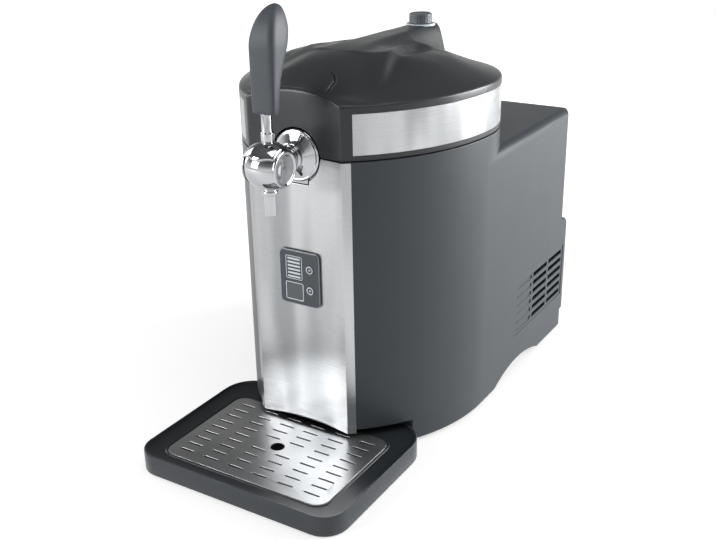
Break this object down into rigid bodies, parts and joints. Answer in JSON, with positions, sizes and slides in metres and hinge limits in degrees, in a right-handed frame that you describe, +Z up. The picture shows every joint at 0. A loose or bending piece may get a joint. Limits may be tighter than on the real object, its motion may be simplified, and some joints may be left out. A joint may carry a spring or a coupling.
{
  "type": "keg beer dispenser",
  "caption": "Countertop cooler for a small party keg: barrel casing with rear cooling housing, domed hinged lid with gas regulator, lever tap on the front, and a removable drip tray under it.",
  "frame": {"origin": "on the floor, under the middle of the outline seen from above", "axes": "+Z up, the tap and drip tray face -Y, the cooling housing is at +Y, +X is the right side seen from the front"},
  "size_m": [0.25, 0.511, 0.4333],
  "materials": {
    "casing_plastic": "satin dark grey",
    "lid_plastic": "soft gloss dark grey",
    "base_plastic": "fine matt black",
    "tray_plastic": "satin black",
    "brushed_sheet": "brushed, soft reflections",
    "bright_chrome": "polished",
    "handle_plastic": "satin metallic grey",
    "knob_plastic": "satin",
    "soft_rubber": "matt",
    "cast_alloy": "plain",
    "light_mark": "printed or light pipe",
    "screen": "glossy black",
    "foam": "foam",
    "board": "lacquered board",
    "spring_steel": "bright wire",
    "cartridge_paint": "painted",
    "ceramic": "plain"
  },
  "bodies": {
    "casing": {"body_shell": "casing_plastic", "base": "casing_plastic", "rubber_feet": "soft_rubber", "rear_cover": "casing_plastic", "rear_screws": "spring_steel", "vent_grille_left": "casing_plastic", "vent_grille_right": "casing_plastic", "front_panel": "brushed_sheet", "top_deck": "base_plastic", "tap_bracket": "cast_alloy", "control_plate": "base_plastic", "display_window": "screen", "level_gauge": "light_mark", "control_board": "board", "lid_hinge_pin": "spring_steel", "hinge_brackets": "base_plastic", "latch_keeper": "spring_steel", "tap_flange": "bright_chrome", "tap_shank": "bright_chrome", "shank_nut": "spring_steel", "beer_nipple": "spring_steel", "tap_barrel": "bright_chrome", "tap_spout": "bright_chrome", "keg_well": "cast_alloy", "well_insulation": "foam", "cold_block": "cast_alloy", "cooling_cell": "ceramic", "heat_sink": "cast_alloy", "sink_screws": "spring_steel", "fan_frame": "base_plastic", "power_board": "board", "power_inlet": "base_plastic"},
    "lid": {"lid_ring": "casing_plastic", "lid_dome": "lid_plastic", "lid_band_left": "brushed_sheet", "lid_band_right": "brushed_sheet", "lid_liner": "base_plastic", "lid_seal": "soft_rubber", "knob_collar": "light_mark", "regulator_body": "cast_alloy", "gas_cartridge": "cartridge_paint", "cartridge_cradle": "base_plastic", "gas_nipple": "cast_alloy"},
    "release": {"lid_release_button": "lid_plastic", "release_spring": "spring_steel"},
    "latch": {"lid_latch": "cast_alloy"},
    "knob": {"pressure_knob": "knob_plastic"},
    "lever": {"lever_saddle": "bright_chrome", "lever_pin": "spring_steel", "lever_stem": "bright_chrome", "tap_handle": "handle_plastic"},
    "plunger": {"tap_plunger": "spring_steel"},
    "power_key": {"power_button": "light_mark"},
    "cooling_key": {"cooling_button": "light_mark"},
    "tray": {"drip_tray": "tray_plastic", "tray_floor": "tray_plastic"},
    "grille": {"drip_grille": "brushed_sheet"},
    "rotor": {"fan_rotor": "base_plastic"}
  },
  "joints": [
    {"name": "lid_hinge", "type": "hinge", "parent": "casing", "child": "lid", "pos_m": [0, 0.1365, 0.289], "axis": [-1, 0, 0], "range_deg": [0, 80]},
    {"name": "release_press", "type": "slide", "parent": "lid", "child": "release", "axis": [0, 0, -1], "range_m": [0, 0.004], "stiffness_N_per_m": 400, "springref_m": -0.002, "deforming": ["release_spring"]},
    {"name": "latch_slide", "type": "slide", "parent": "lid", "child": "latch", "axis": [0, 1, 0], "range_m": [0, 0.004]},
    {"name": "pressure_turn", "type": "hinge", "parent": "lid", "child": "knob", "pos_m": [0, 0.1085, 0.385], "axis": [0, 0, 1], "range_deg": [0, 270]},
    {"name": "tap_lever", "type": "hinge", "parent": "casing", "child": "lever", "pos_m": [0, -0.1675, 0.297], "axis": [1, 0, 0], "range_deg": [0, 40]},
    {"name": "tap_valve", "type": "slide", "parent": "casing", "child": "plunger", "axis": [0, 1, 0], "range_m": [0, 0.005]},
    {"name": "power_press", "type": "slide", "parent": "casing", "child": "power_key", "axis": [0, 1, 0], "range_m": [0, 0.0006], "stiffness_N_per_m": 800, "springref_m": -0.0006},
    {"name": "cooling_press", "type": "slide", "parent": "casing", "child": "cooling_key", "axis": [0, 1, 0], "range_m": [0, 0.0006], "stiffness_N_per_m": 800, "springref_m": -0.0006},
    {"name": "tray_slide", "type": "slide", "parent": "casing", "child": "tray", "axis": [0, -1, 0], "range_m": [0, 0.06]},
    {"name": "grille_lift", "type": "slide", "parent": "tray", "child": "grille", "axis": [0, 0, 1], "range_m": [0, 0.0034]},
    {"name": "fan_spin", "type": "hinge", "parent": "casing", "child": "rotor", "pos_m": [0, 0.1685, 0.172], "axis": [0, 1, 0], "continuous": true}
  ],
  "couplings": [
    {"joint": "latch_slide", "follows": "release_press", "ratio": 1},
    {"joint": "tap_valve", "follows": "tap_lever", "m_per_rad": 0.0071}
  ]
}
